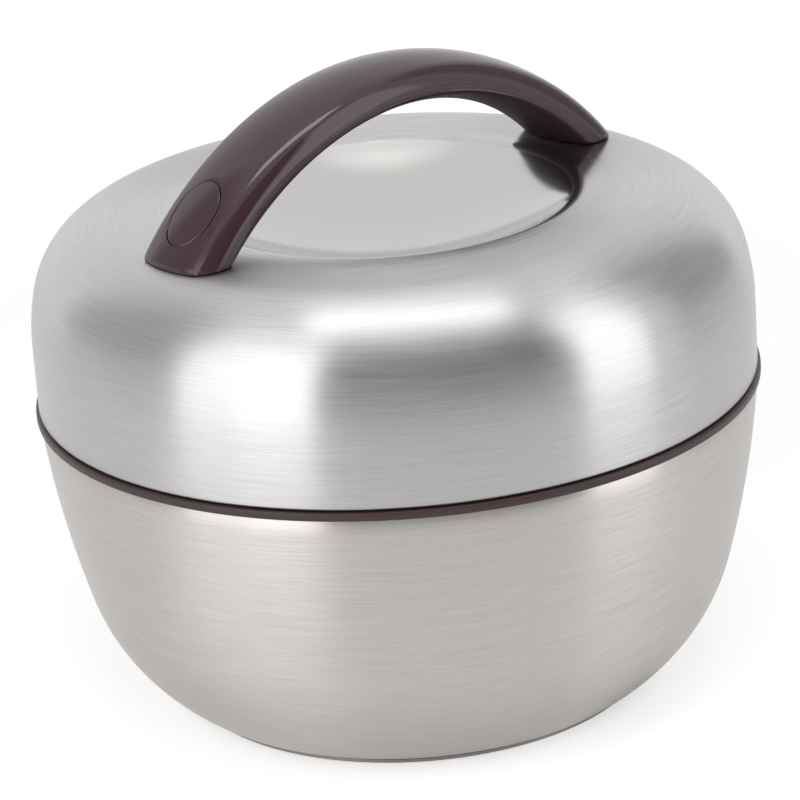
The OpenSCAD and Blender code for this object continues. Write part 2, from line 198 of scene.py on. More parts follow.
def brushed_steel(name, light, dark, smooth, rough, stretch, relief, buffed=None):
    """Stainless steel brushed round the axis: the marks change its tone, gloss and relief a
    little. Buffed steel gets smoother towards the axis: (inner radius, outer radius, inner
    roughness)."""
    material, tree, shader = start_material(name)
    marks = brush_marks(tree, BRUSH_WIDTH, BRUSH_LENGTH)
    roughness = remap(tree, marks, BRUSH_RANGE, (smooth, rough))
    bump = add(
        tree, "ShaderNodeBump", {"Strength": relief, "Distance": BRUSH_DEPTH}, {"Height": marks}
    )
    if buffed:
        inner, outer, gloss = buffed
        radius = add(tree, "ShaderNodeVectorMath", {"operation": "LENGTH"}, {0: off_axis(tree)})
        share = remap(tree, radius.outputs["Value"], (inner, outer), ease=True)
        roughness = add(tree, "ShaderNodeMix", {2: gloss}, {0: share, 3: roughness}).outputs[0]
    along = add(tree, "ShaderNodeTangent", {"direction_type": "UV_MAP", "uv_map": "grain"})
    shader.inputs["Metallic"].default_value = 1.0
    shader.inputs["Anisotropic"].default_value = stretch
    shader.inputs["Anisotropic Rotation"].default_value = ACROSS_GRAIN
    tree.links.new(mix_tones(tree, dark, light, marks), shader.inputs["Base Color"])
    tree.links.new(roughness, shader.inputs["Roughness"])
    tree.links.new(bump.outputs["Normal"], shader.inputs["Normal"])
    tree.links.new(along.outputs["Tangent"], shader.inputs["Tangent"])
    return material


BELT = {"smooth": 0.29, "rough": 0.36, "stretch": 0.92, "relief": 0.06}
MILL = {"smooth": 0.32, "rough": 0.40, "stretch": 0.80, "relief": 0.06}
FINE_BELT = {"smooth": 0.20, "rough": 0.26, "stretch": 0.80, "relief": 0.10}
LID_TONES = ("#e1e0df", "#b7b6b5")
BUFFED = (0.0500, 0.0600, 0.18)

# Belt-brushed bowl: tall soft highlights, fine level streaks and a faint warm tint.
bowl_steel = brushed_steel("brushed_stainless_steel", "#e3dfdc", "#bab6b3", **BELT)
# The base disc is left as the rolling mill made it: the same steel, duller, and darker as painted
# shade for the foot ring under the heel.
painted_shade_base_steel = brushed_steel("mill_stainless_steel_painted_shade", "#b6b2af", "#95918e", **MILL)
# The lid is brushed the same way as the bowl, from a sheet that looks a little cooler.
lid_steel = brushed_steel("cool_brushed_stainless_steel", *LID_TONES, **BELT)
# The top of the lid runs from that brushing to a smooth buffed lip round the dish.
top_steel = brushed_steel("buffed_stainless_steel", *LID_TONES, **BELT, buffed=BUFFED)
# The food side is brushed finer, so it mirrors a little more.
inside_steel = brushed_steel("satin_stainless_steel", "#cac9c7", "#c0bfbc", **FINE_BELT)
for steel in (bowl_steel, painted_shade_base_steel, lid_steel, top_steel, inside_steel):
    print("steel:", steel.name)

# %% [markdown]
# ## Polished stainless steel
#
# The dish in the lid was buffed to a mirror. A perfect mirror looks false, so a large soft noise
# leaves it a little cloudy in places, as a polishing wheel does. The fixings are plated steel,
# with a much finer pattern of dull and bright spots.

# %% Mirror of the dish, and plated fixings
NOISE_RANGE = (0.3, 0.7)


def spotted_steel(name, tone, size, detail, smooth, rough):
    """Plain steel of one tone with duller spots of one size, in metres."""
    material, tree, shader = start_material(name)
    haze = remap(tree, soft_noise(tree, size, detail), NOISE_RANGE, (smooth, rough))
    shader.inputs["Base Color"].default_value = colour(tone)
    shader.inputs["Metallic"].default_value = 1.0
    tree.links.new(haze, shader.inputs["Roughness"])
    return material


polished_steel = spotted_steel(
    "polished_stainless_steel", "#cfcecc", size=0.012, detail=4.0, smooth=0.10, rough=0.15
)
fixing_steel = spotted_steel(
    "zinc_plated_steel", "#c2c4c6", size=0.0012, detail=2.0, smooth=0.28, rough=0.42
)
print("mirror:", polished_steel.name, "fixings:", fixing_steel.name)

# %% [markdown]
# ## Moulded plastic, rubber and foam
#
# The handle is glossy ABS in a very dark brown with a hint of aubergine. Moulded gloss is never
# quite flat: a faint orange-peel relief, a few millimetres wide, bends the edges of reflections.
# Under the grip the mould was etched, which leaves the plastic matt; its darker brown there is
# painted shade on the faces that look down. The collar and the skirt of the lid are the same
# colour from a satin mould. The seal is white silicone, the pads under the feet are black rubber,
# and the walls are filled with pale foam.

# %% Plastics, rubber and foam
SKIN_DEPTH = 0.0001


def moulded(name, base, deep, smooth, rough, grain_size, relief, ior):
    """A moulded material: two close tones and a relief of one grain size, in metres."""
    material, tree, shader = start_material(name)
    skin = soft_noise(tree, grain_size, detail=2.0)
    gloss = remap(tree, skin, NOISE_RANGE, (smooth, rough))
    bump = add(
        tree, "ShaderNodeBump", {"Strength": relief, "Distance": SKIN_DEPTH}, {"Height": skin}
    )
    shader.inputs["IOR"].default_value = ior
    tree.links.new(mix_tones(tree, deep, base, skin), shader.inputs["Base Color"])
    tree.links.new(gloss, shader.inputs["Roughness"])
    tree.links.new(bump.outputs["Normal"], shader.inputs["Normal"])
    return material


# Glossy ABS: deep brown, with clear reflections of lamps and steel.
handle_plastic = moulded(
    "glossy_brown_abs", "#4b3439", "#442e33",
    smooth=0.08, rough=0.12, grain_size=0.0030, relief=0.02, ior=1.52
)
# Under the grip the mould was etched, so the hand doesn't slip: matt, with hardly any shine, and
# darker as painted shade.
grip_plastic_painted_shade = moulded(
    "matt_brown_abs_painted_shade", "#3b2a2e", "#332428",
    smooth=0.50, rough=0.60, grain_size=0.0004, relief=0.10, ior=1.30
)
# The same colour from a satin mould: soft, grey highlights.
ring_plastic = moulded(
    "satin_brown_polypropylene", "#4a3738", "#433132",
    smooth=0.34, rough=0.42, grain_size=0.0008, relief=0.05, ior=1.46
)
# Silicone: pale, soft sheen, slightly powdery.
seal_silicone = moulded(
    "white_silicone", "#dedbd4", "#d2cfc7",
    smooth=0.45, rough=0.60, grain_size=0.0010, relief=0.05, ior=1.42
)
# Rubber: nearly black and dull.
pad_rubber = moulded(
    "black_rubber", "#241f1f", "#1c1818",
    smooth=0.60, rough=0.75, grain_size=0.0006, relief=0.20, ior=1.50
)
# Rigid foam: cream, with cells about 0.8 mm across.
wall_foam = moulded(
    "cream_polyurethane_foam", "#e8dcb4", "#cdbd8c",
    smooth=0.85, rough=0.95, grain_size=0.0008, relief=0.80, ior=1.45
)
print("materials:", len(bpy.data.materials))

# %% [markdown]
# ## Drawing a profile and turning it
#
# Almost every piece of this box is round, so it is made as on a lathe: half of its section is
# drawn as a chain of edges in the XZ plane, and the chain is spun round the axis. Straight runs
# are extruded vertices, arcs are vertices spun round the arc's centre, and a corner is rounded
# with a vertex bevel. All sizes here are in millimetres, as on a drawing.

# %% Profile helpers
MM = 0.001
SHEET = 0.6
ARC_STEP = 2.0
ARC_ANGLE = 4
ARC_LEAST = 4
WELD = 1e-6
SHARP_ANGLE = math.radians(32)


def verts_of(geom):
    """The vertices in a mixed list of geometry."""
    return [g for g in geom if isinstance(g, bmesh.types.BMVert)]


def edges_of(geom):
    """The edges in a mixed list of geometry."""
    return [g for g in geom if isinstance(g, bmesh.types.BMEdge)]


def draw_profile(start, moves):
    """A chain of edges. A move of two numbers runs straight to (r, z); three numbers turn the end
    round the centre (r, z) by an angle in degrees, anticlockwise."""
    bm = bmesh.new()
    tip = bm.verts.new((start[0] * MM, 0, start[1] * MM))
    for move in moves:
        point = Vector((move[0] * MM, 0, move[1] * MM))
        if len(move) == 2:
            tip = bmesh.ops.extrude_vert_indiv(bm, verts=[tip])["verts"][0]
            tip.co = point
        else:
            turn = math.radians(move[2])
            length = abs(turn) * (tip.co - point).length / MM
            steps = max(
                ARC_LEAST, math.ceil(abs(move[2]) / ARC_ANGLE), math.ceil(length / ARC_STEP)
            )
            turned = bmesh.ops.spin(
                bm, geom=[tip], cent=point, axis=(0, -1, 0), angle=turn, steps=steps
            )
            tip = verts_of(turned["geom_last"])[0]
    return bm


def close_profile(bm):
    """Join the two ends of a chain."""
    ends = [v for v in bm.verts if len(v.link_edges) == 1]
    bm.edges.new(ends)


def round_corner(bm, r, z, radius, segments=4):
    """Round the corner of a chain that lies at (r, z)."""
    corner = min(bm.verts, key=lambda v: (v.co - Vector((r * MM, 0, z * MM))).length)
    bmesh.ops.bevel(
        bm, geom=[corner], offset=radius * MM, offset_type="OFFSET",
        affect="VERTICES", segments=segments, profile=0.5, material=-1
    )


def turn_on_lathe(bm, steps=180):
    """Spin the chain once round the Z axis. Each vertex remembers how far along the chain it
    lies."""
    along = bm.verts.layers.float.new("along")
    ends = [v for v in bm.verts if len(v.link_edges) == 1]
    here = ends[0] if ends else bm.verts[:][0]
    done = 0.0
    seen = {here}
    while True:
        here[along] = done
        after = [e.other_vert(here) for e in here.link_edges if e.other_vert(here) not in seen]
        if not after:
            break
        done += (after[0].co - here.co).length
        here = after[0]
        seen.add(here)
    bmesh.ops.spin(
        bm, geom=bm.verts[:] + bm.edges[:], cent=(0, 0, 0), axis=(0, 0, 1),
        angle=2 * math.pi, steps=steps, use_merge=True
    )
    bmesh.ops.remove_doubles(bm, verts=bm.verts, dist=WELD)
    bmesh.ops.recalc_face_normals(bm, faces=bm.faces)


def wrap_grain(bm):
    """The UV map named grain: U goes once round the axis, V runs along the profile in metres."""
    along = bm.verts.layers.float["along"]
    grain = bm.loops.layers.uv.new("grain")
    for face in bm.faces:
        middle = face.calc_center_median()
        mean = math.atan2(middle.y, middle.x)
        for loop in face.loops:
            turn = math.atan2(loop.vert.co.y, loop.vert.co.x) - mean
            turn = (turn + math.pi) % (2 * math.pi) - math.pi
            if loop.vert.co.xy.length < WELD:
                turn = 0.0
            loop[grain].uv = ((mean + turn) / (2 * math.pi), loop.vert[along])


def thicken(bm):
    """Give a turned face the thickness of the sheet, on the side that it looks away from."""
    bmesh.ops.solidify(bm, geom=bm.faces[:], thickness=SHEET * MM)
    wrap_grain(bm)


def make_piece(name, bm, body, nodes, finishes):
    """Turn a bmesh into a smooth-shaded piece that rides on a body and stands for CAD nodes."""
    mesh = bpy.data.meshes.new(name)
    bm.to_mesh(mesh)
    bm.free()
    for finish in finishes:
        mesh.materials.append(finish)
    mesh.shade_smooth()
    mesh.set_sharp_from_angle(angle=SHARP_ANGLE)
    piece = bpy.data.objects.new(name, mesh)
    scene.collection.objects.link(piece)
    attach(piece, body)
    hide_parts(*nodes)
    print(f"{name}: {len(mesh.polygons)} faces, {len(mesh.vertices)} vertices")


# %% [markdown]
# ## The bowl
#
# The outside of the body is one steel sheet, 0.6 mm thick, pressed into a bowl: a long curve of
# 270 mm radius for the side and a tighter one for the heel, which runs into a flat floor. Just
# under the ring its edge is drawn in, which gives a lively little wedge of light there, and a low
# step at the foot of the heel leaves a dark line above the foot ring. The outside face is drawn
# and spun, and solidify then gives the sheet its thickness on the side that the faces turn away
# from.

# %% Outer shell
SIDE_CENTRE = (-174.253, 103.993)
SIDE_TURN = 9.525
HEEL_CENTRE = (34.001, 46.666)
HEEL_TURN = 39.573
HEEL_R = 65.0
EDGE_CENTRE = (80.406, 77.831)
EDGE_TURN = 20.0
FLOOR_Z = 1.9
FLOOR_IN = 48.1
FLOOR_OUT = 63.1
STEP_Z = 2.45
STEP_R = 63.4

bowl = draw_profile(
    (FLOOR_IN, FLOOR_Z),
    [
        (FLOOR_OUT, FLOOR_Z), (STEP_R, STEP_Z), (HEEL_R, STEP_Z), (*HEEL_CENTRE, HEEL_TURN),
        (*SIDE_CENTRE, SIDE_TURN), (*EDGE_CENTRE, EDGE_TURN)
    ]
)
round_corner(bowl, HEEL_R, STEP_Z, radius=0.25)
turn_on_lathe(bowl)
thicken(bowl)
make_piece("pressed_bowl", bowl, "base", ["outer_shell"], [bowl_steel])

# %% [markdown]
# ## The base disc
#
# A second sheet closes the bowl from below. Its rim is turned into a low foot ring with a
# shallow groove over it, and its middle is raised off the table, so the box stands on the ring
# alone.

# %% Base cap
PANEL_Z = 1.3
PANEL_R = 52.1
FOOT_IN = 54
FOOT_OUT = 62.4
FOOT_TOP = 1.0
GROOVE_Z = 1.1
GROOVE_DEPTH = 0.6
GROOVE_R = FOOT_OUT - GROOVE_DEPTH

disc = draw_profile(
    (0, PANEL_Z),
    [
        (PANEL_R, PANEL_Z), (FOOT_IN, 0), (FOOT_OUT, 0), (FOOT_OUT, FOOT_TOP),
        (GROOVE_R, GROOVE_Z), (GROOVE_R, FLOOR_Z)
    ]
)
for r, z, radius in ((PANEL_R, PANEL_Z, 0.9), (FOOT_IN, 0, 0.9), (FOOT_OUT, 0, 0.35)):
    round_corner(disc, r, z, radius)
turn_on_lathe(disc)
thicken(disc)
make_piece("base_disc", disc, "base", ["base_cap"], [painted_shade_base_steel])

# %% [markdown]
# ## The food bowl inside
#
# The liner is pressed like the outside, parallel to it, with a ledge for the tray near the top.
# Above the ledge a straight neck goes up through the collar, and the rim is rolled out over it.
# Here the face on the food side is drawn.

# %% Inner liner
def face_food(bm, up):
    """Turn the faces of a sheet so that its middle looks up, or down, to the food."""
    middle = min(bm.faces, key=lambda face: face.calc_center_median().xy.length)
    if (middle.normal.z > 0) != up:
        bmesh.ops.reverse_faces(bm, faces=bm.faces)


LINER_Z = 16.1
LINER_FLAT = 59.491
LINER_HEEL_TURN = 34.783
LINER_SIDE_TURN = 9.649
LEDGE_R = 80.263
LEDGE_Z = 78.4
LINER_NECK_R = 84.8
RIM_R = 88.2
RIM_Z = 95.0

liner = draw_profile(
    (0, LINER_Z),
    [
        (LINER_FLAT, LINER_Z), (*HEEL_CENTRE, LINER_HEEL_TURN), (*SIDE_CENTRE, LINER_SIDE_TURN),
        (LINER_NECK_R, LEDGE_Z), (LINER_NECK_R, RIM_Z), (RIM_R, RIM_Z), (RIM_R, RIM_Z - SHEET)
    ]
)
for r, z, radius in (
    (LEDGE_R, LEDGE_Z, 0.9), (LINER_NECK_R, LEDGE_Z, 0.9),
    (LINER_NECK_R, RIM_Z, 0.9), (RIM_R, RIM_Z, 0.45)
):
    round_corner(liner, r, z, radius)
turn_on_lathe(liner)
face_food(liner, up=True)
thicken(liner)
make_piece("food_liner", liner, "base", ["inner_liner"], [inside_steel])

# %% [markdown]
# ## The food tray
#
# A shallow steel tray hangs by its flat rim on the ledge of the liner, and lifts out.

# %% Food tray
TRAY_Z = 49.25
TRAY_FLAT = 66.439
TRAY_CORNER_Z = 58.25
TRAY_CORNER_TURN = 79.239
TRAY_SIDE_TURN = 5.170
TRAY_TOP_R = 78.539
TRAY_RIM_R = 84.4
TRAY_RIM_Z = 79.25

tray = draw_profile(
    (0, TRAY_Z),
    [
        (TRAY_FLAT, TRAY_Z), (TRAY_FLAT, TRAY_CORNER_Z, TRAY_CORNER_TURN),
        (*SIDE_CENTRE, TRAY_SIDE_TURN), (TRAY_RIM_R, TRAY_RIM_Z)
    ]
)
round_corner(tray, TRAY_TOP_R, TRAY_RIM_Z, radius=1.0)
turn_on_lathe(tray)
face_food(tray, up=True)
thicken(tray)
make_piece("lift_out_tray", tray, "tray", ["food_tray"], [inside_steel])

# %% [markdown]
# ## The collar and its lock
#
# The brown line in the seam is the edge of a moulded collar. Above it, hidden by the lid, stands
# a neck with four lugs; the lid has four more, and a short turn slides one set under the other.
# The neck is spun in steps of one degree, so that a lug is simply a patch of its wall pulled out:
# the patch is extruded and scaled away from the axis. A narrow patch under each lug of the neck
# becomes the stop.

# %% Collar
DEGREE_STEPS = 360
QUARTER = 90
WALL_SLACK = 0.02
UPRIGHT = 0.1
LUG_HALF = 17
STOP_HALF = 2


def pull_lugs(bm, chosen, from_r, to_r):
    """Extrude the chosen faces of a round wall, and scale the new faces to another radius."""
    moved = bmesh.ops.extrude_face_region(bm, geom=chosen)["geom"]
    bmesh.ops.delete(bm, geom=chosen, context="FACES")
    bmesh.ops.scale(bm, vec=(to_r / from_r, to_r / from_r, 1), verts=verts_of(moved))
    bmesh.ops.recalc_face_normals(bm, faces=bm.faces)


def wall_faces(bm, r, z0, z1, centre, half):
    """Faces of the wall of radius r between two heights, near the angle centre or a quarter turn
    from it."""
    found = []
    for face in bm.faces:
        middle = face.calc_center_median()
        azimuth = math.degrees(math.atan2(middle.y, middle.x))
        turn = (azimuth - centre + QUARTER / 2) % QUARTER - QUARTER / 2
        on_wall = abs(middle.xy.length - r * MM) < WALL_SLACK * MM
        upright = abs(face.normal.z) < UPRIGHT
        if on_wall and upright and z0 * MM < middle.z < z1 * MM and abs(turn) < half:
            found.append(face)
    return found


NECK_IN = 85.6
NECK_OUT = 88.6
NECK_TOP = 94.4
LUG_OUT = 91.2
LUG_Z = 91.4
STOP_Z = 88.0
SEAM_Z = 81.4
RING_OUT = 95.6
RING_TOP = 83.5
SPIGOT_Z = 74.4
SPIGOT = ((91.1, SEAM_Z), (90.6, SPIGOT_Z), (92.6, SPIGOT_Z), (92.9, SEAM_Z))
LUGS_AT = 45
STOPS_AT = 60

collar = draw_profile(
    (NECK_IN, NECK_TOP),
    [
        (NECK_IN, SEAM_Z), *SPIGOT, (RING_OUT, SEAM_Z), (RING_OUT, RING_TOP), (NECK_OUT, RING_TOP),
        (NECK_OUT, STOP_Z), (NECK_OUT, LUG_Z), (NECK_OUT, NECK_TOP)
    ]
)
close_profile(collar)
round_corner(collar, RING_OUT, RING_TOP, radius=0.45)
round_corner(collar, RING_OUT, SEAM_Z, radius=0.35)
turn_on_lathe(collar, DEGREE_STEPS)
collar.normal_update()
lugs = wall_faces(collar, NECK_OUT, LUG_Z, NECK_TOP, LUGS_AT, LUG_HALF)
stops = wall_faces(collar, NECK_OUT, STOP_Z, LUG_Z, STOPS_AT, STOP_HALF)
pull_lugs(collar, lugs + stops, NECK_OUT, LUG_OUT)
wrap_grain(collar)
make_piece("seam_collar", collar, "base", ["collar"], [ring_plastic])

# %% [markdown]
# ## The lid
#
# The lid is one pressed sheet again: an upright wall, two curves that turn it over, a nearly
# flat top, and a rolled lip that drops into the round dish. The outside is brushed, the top is
# buffed towards its lip, and the faces inside the lip get the mirror.

# %% Lid shell
LID_R = 94.8
LID_Z = 83.9
HEM_R = 92.6
WALL_TOP = 101.2
WALL_CURVE = (39.8, WALL_TOP, 15.0)
SHOULDER = {"r": 70.227, "z": 109.353, "curve": 23.5}
SHOULDER_TURN = 73.5
LIP_START = (52.042, 133.337)
LIP_CURVE = (51.885, 127.339, 33.754)
DISH_CURVE = (0, 209.560, -32.2536)
POLISH_R = 48.7
BUFF_R = 66.0
BUFF_Z = 132.972
TOP_ONLY_Z = 110

dome = draw_profile(
    (HEM_R, LID_Z),
    [
        (LID_R, LID_Z), (LID_R, WALL_TOP), WALL_CURVE,
        (SHOULDER["r"], SHOULDER["z"], SHOULDER_TURN),
        (BUFF_R, BUFF_Z), LIP_START, LIP_CURVE, DISH_CURVE
    ]
)
round_corner(dome, LID_R, LID_Z, radius=0.7)
turn_on_lathe(dome)
thicken(dome)
for face in dome.faces:
    middle = face.calc_center_median()
    if middle.z > TOP_ONLY_Z * MM and middle.xy.length < BUFF_R * MM:
        face.material_index = 2 if middle.xy.length < POLISH_R * MM else 1
make_piece(
    "pressed_lid", dome, "lid", ["lid_shell"],
    [lid_steel, top_steel, polished_steel]
)

# %% [markdown]
# ## Inside the lid
#
# A moulded skirt stands inside the lid's wall. It carries the four lid lugs, pulled inwards out
# of its wall, and a web with a groove for the seal. A steel ceiling closes the lid on the food
# side, and the seal is a flat silicone ring with a round lip.

# %% Skirt, ceiling and seal
SKIRT_IN = 91.6
SKIRT_OUT = 94.0
SKIRT_Z = 84.7
SKIRT_LUG = {"in": 89.0, "low": 88.0, "high": 91.0, "at": 0}
WEB_IN = 81.8
WEB_Z = 95.8
WEB_TOP = 100.4
SEAT = {"in": 84.2, "out": 88.8, "top": 98.3}

skirt = draw_profile(
    (SKIRT_IN, SKIRT_Z),
    [
        (SKIRT_OUT, SKIRT_Z), (SKIRT_OUT, WEB_TOP), (WEB_IN, WEB_TOP), (WEB_IN, WEB_Z),
        (SEAT["in"], WEB_Z), (SEAT["in"], SEAT["top"]), (SEAT["out"], SEAT["top"]),
        (SEAT["out"], WEB_Z), (SKIRT_IN, WEB_Z),
        (SKIRT_IN, SKIRT_LUG["high"]), (SKIRT_IN, SKIRT_LUG["low"])
    ]
)
close_profile(skirt)
round_corner(skirt, WEB_IN, WEB_Z, radius=0.6)
turn_on_lathe(skirt, DEGREE_STEPS)
skirt.normal_update()
lugs = wall_faces(skirt, SKIRT_IN, SKIRT_LUG["low"], SKIRT_LUG["high"], SKIRT_LUG["at"], LUG_HALF)
pull_lugs(skirt, lugs, SKIRT_IN, SKIRT_LUG["in"])
wrap_grain(skirt)
make_piece("lid_skirt", skirt, "lid", ["lid_ring"], [ring_plastic])

CEILING_R = 70.663
CEILING_Z = 109.137
FLANGE_IN = 79.4
FLANGE_OUT = 91.6

ceiling = draw_profile(
    (0, CEILING_Z), [(CEILING_R, CEILING_Z), (FLANGE_IN, WEB_TOP), (FLANGE_OUT, WEB_TOP)]
)
round_corner(ceiling, CEILING_R, CEILING_Z, radius=2.5, segments=6)
round_corner(ceiling, FLANGE_IN, WEB_TOP, radius=2.0, segments=6)
turn_on_lathe(ceiling)
face_food(ceiling, up=False)
thicken(ceiling)
make_piece("lid_ceiling", ceiling, "lid", ["lid_inner_panel"], [inside_steel])

SEAL_IN = 84.6
SEAL_OUT = 88.4
SEAL_TOP = 98.05
SEAL_LIP_IN = 85.233
SEAL_LIP_CENTRE = (86.5, 96.517)
SEAL_LIP_Z = SEAL_LIP_CENTRE[1]

seal = draw_profile(
    (SEAL_IN, SEAL_TOP),
    [
        (SEAL_IN, SEAL_LIP_Z), (SEAL_LIP_IN, SEAL_LIP_Z), (*SEAL_LIP_CENTRE, 180),
        (SEAL_OUT, SEAL_LIP_Z), (SEAL_OUT, SEAL_TOP)
    ]
)
close_profile(seal)
turn_on_lathe(seal)
wrap_grain(seal)
make_piece("silicone_seal", seal, "lid_seal", ["lid_gasket"], [seal_silicone])

# %% [markdown]
# ## The handle
#
# The handle is a bow with a crowned top, moulded in two halves that meet in a fine crease along
# its sides. The section of each half is drawn upright over the crown of the bow, turned to one
# end and spun along the arch. Both ends are then cut along the slope of the lid's top.

# %% Sections of the two halves
ARCH_Z = 75.564
SWEEP = 64.5
UPPER_Y = 13.06
LOWER_Y = 13.1
CROWN = {"centre": 61.173, "curve": 32.808, "turn": 16.543}
EDGE = {"centre": 87.638, "y": 7.86}
UNDER = {"centre": 108.532, "turn": 25.707}
CORNER = {"centre": 86.514, "y": 10.6}
PART = 87.214
HAIRLINE = 0.04
SECTION_ANGLE = 3
SECTION_LEAST = 6


def draw_section(start, moves):
    """A chain like a profile's, in the YZ plane over the arch: points are (y, distance from the
    centre of the arch), and three numbers turn the end round a centre by an angle."""
    bm = bmesh.new()
    tip = bm.verts.new((0, start[0] * MM, (ARCH_Z + start[1]) * MM))
    for move in moves:
        point = Vector((0, move[0] * MM, (ARCH_Z + move[1]) * MM))
        if len(move) == 2:
            tip = bmesh.ops.extrude_vert_indiv(bm, verts=[tip])["verts"][0]
            tip.co = point
        else:
            steps = max(SECTION_LEAST, math.ceil(abs(move[2]) / SECTION_ANGLE))
            turned = bmesh.ops.spin(
                bm, geom=[tip], cent=point, axis=(1, 0, 0), angle=math.radians(move[2]),
                steps=steps
            )
            tip = verts_of(turned["geom_last"])[0]
    close_profile(bm)
    return bm


def sweep_along_arch(bm, steps=128):
    """Turn the section to the front end of the arch, spin it to the rear end and cap both ends."""
    centre = (0, 0, ARCH_Z * MM)
    turn = Matrix.Rotation(math.radians(-SWEEP), 3, "Y")
    bmesh.ops.rotate(bm, verts=bm.verts, cent=centre, matrix=turn)
    front = bm.edges[:]
    swept = bmesh.ops.spin(
        bm, geom=bm.verts[:] + bm.edges[:], cent=centre, axis=(0, 1, 0),
        angle=math.radians(2 * SWEEP), steps=steps
    )
    bmesh.ops.edgeloop_fill(bm, edges=front)
    bmesh.ops.edgeloop_fill(bm, edges=edges_of(swept["geom_last"]))
    bmesh.ops.recalc_face_normals(bm, faces=bm.faces)


edge_end = 90 - CROWN["turn"]
over_the_crown = [
    (EDGE["y"], EDGE["centre"], edge_end), (0, CROWN["centre"], 2 * CROWN["turn"]),
    (-EDGE["y"], EDGE["centre"], edge_end)
]
crown_half = draw_section(
    (UPPER_Y, PART), [(UPPER_Y, EDGE["centre"]), *over_the_crown, (-UPPER_Y, PART)]
)
corner_end = 90 - UNDER["turn"]
under_half = draw_section(
    (LOWER_Y, PART - HAIRLINE),
    [
        (LOWER_Y, CORNER["centre"]),
        (CORNER["y"], CORNER["centre"], -corner_end), (0, UNDER["centre"], -2 * UNDER["turn"]),
        (-CORNER["y"], CORNER["centre"], -corner_end), (-LOWER_Y, PART - HAIRLINE)
    ]
)
for half in (crown_half, under_half):
    sweep_along_arch(half)
print("sections swept:", len(crown_half.faces), "and", len(under_half.faces), "faces")

# %% [markdown]
# ## Feet that sit on the lid
#
# Bisecting the swept bow with a plane just above the lid gives a flat sole. A real moulding has
# no knife edge there: more cuts above the sole give loops that are drawn in, most at the outer
# tip, so the foot ends in a small blunt lip that catches a line of light. The loops are also let
# down onto the lid, whose shoulder begins to fall away under the tip.

# %% Cut and round the feet
BROW = Vector((70.842, 0, 132.845)) * MM
TOP_SLOPE = math.radians(1.5)
FINE_WELD = 1e-7
SOLE = 0.30
# Heights above the sole, and how far the loop there is drawn in
ROUNDING = (
    (1.35, 0.0), (1.05, 0.06), (0.80, 0.16), (0.60, 0.27), (0.45, 0.37), (0.30, 0.48),
    (0.15, 0.60), (0.05, 0.72), (0.0, 0.90)
)
DRAPE_HEIGHT = 1.5
SIDE_SHARE = 0.3
FOOT_MIDDLE = 64.0


def lid_height(x, y):
    """Height of the lid's top surface at a point, all in metres."""
    r = math.hypot(x, y)
    if r < BROW.x:
        return BROW.z + (BROW.x - r) * math.tan(TOP_SLOPE)
    rise = math.sqrt((SHOULDER["curve"] * MM) ** 2 - (r - SHOULDER["r"] * MM) ** 2)
    return SHOULDER["z"] * MM + rise


def cut_foot(bm, side):
    """Cut one end just above the lid, round its lower edge and let it down onto the lid."""
    up = Vector((side * math.sin(TOP_SLOPE), 0, math.cos(TOP_SLOPE)))
    base = Vector((side * BROW.x, 0, BROW.z))
    loops = []
    for height, inset in ROUNDING:
        near = [v for v in bm.verts if side * v.co.x > 0]
        geom = set(near)
        geom.update(e for v in near for e in v.link_edges)
        geom.update(f for v in near for f in v.link_faces)
        cut = bmesh.ops.bisect_plane(
            bm, geom=list(geom), dist=FINE_WELD, plane_no=up,
            plane_co=base + up * ((SOLE + height) * MM), clear_inner=height == 0.0
        )["geom_cut"]
        loops.append((height, inset, verts_of(cut)))
    bmesh.ops.edgeloop_fill(bm, edges=edges_of(cut))
    middle = Vector((side * FOOT_MIDDLE, 0, 0)) * MM
    for height, inset, verts in loops:
        for vert in verts:
            out = Vector((vert.co.x - middle.x, vert.co.y, 0)).normalized()
            share = SIDE_SHARE + (1 - SIDE_SHARE) * max(0.0, side * out.x) ** 2
            vert.co -= out * inset * share * MM
            slope = BROW.z + (BROW.x - side * vert.co.x) * math.tan(TOP_SLOPE)
            drop = lid_height(vert.co.x, vert.co.y) - slope
            vert.co.z += drop * (1 - height / DRAPE_HEIGHT)


for half in (crown_half, under_half):
    for side in (-1, 1):
        cut_foot(half, side)
    bmesh.ops.recalc_face_normals(half, faces=half.faces)
print("feet cut: lowest point", round(min(v.co.z for v in crown_half.verts) / MM, 2), "mm")

# %% [markdown]
# ## Pads under the feet
#
# A thin rubber pad keeps each foot from scratching the lid. Only its edge shows, as a dark line
# in the gap. Its outline is the handle's whole section, a little smaller, carried down to the lid.

# %% Foot pads
PAD_INSET = 1.0
PAD_FOOT = 0.02
PAD_THICKNESS = 0.26

for side, name, node in ((-1, "front_pad", "foot_pad_front"), (1, "rear_pad", "foot_pad_rear")):
    pad = draw_section(
        (LOWER_Y - PAD_INSET, CORNER["centre"]),
        [
            (LOWER_Y - PAD_INSET, EDGE["centre"]), *over_the_crown,
            (PAD_INSET - LOWER_Y, CORNER["centre"]),
            (-CORNER["y"], CORNER["centre"], corner_end), (0, UNDER["centre"], 2 * UNDER["turn"])
        ]
    )
    for vert in pad.verts:
        reach = vert.co.z - ARCH_Z * MM
        vert.co.x = side * math.sqrt(reach ** 2 - (BROW.z - ARCH_Z * MM) ** 2)
        vert.co.z = lid_height(vert.co.x, vert.co.y) + PAD_FOOT * MM
    under = bmesh.ops.edgeloop_fill(pad, edges=pad.edges)["faces"]
    over = bmesh.ops.extrude_face_region(pad, geom=under, use_keep_orig=True)["geom"]
    bmesh.ops.translate(pad, verts=verts_of(over), vec=(0, 0, PAD_THICKNESS * MM))
    bmesh.ops.recalc_face_normals(pad, faces=pad.faces)
    make_piece(name, pad, "lid", [node], [pad_rubber])

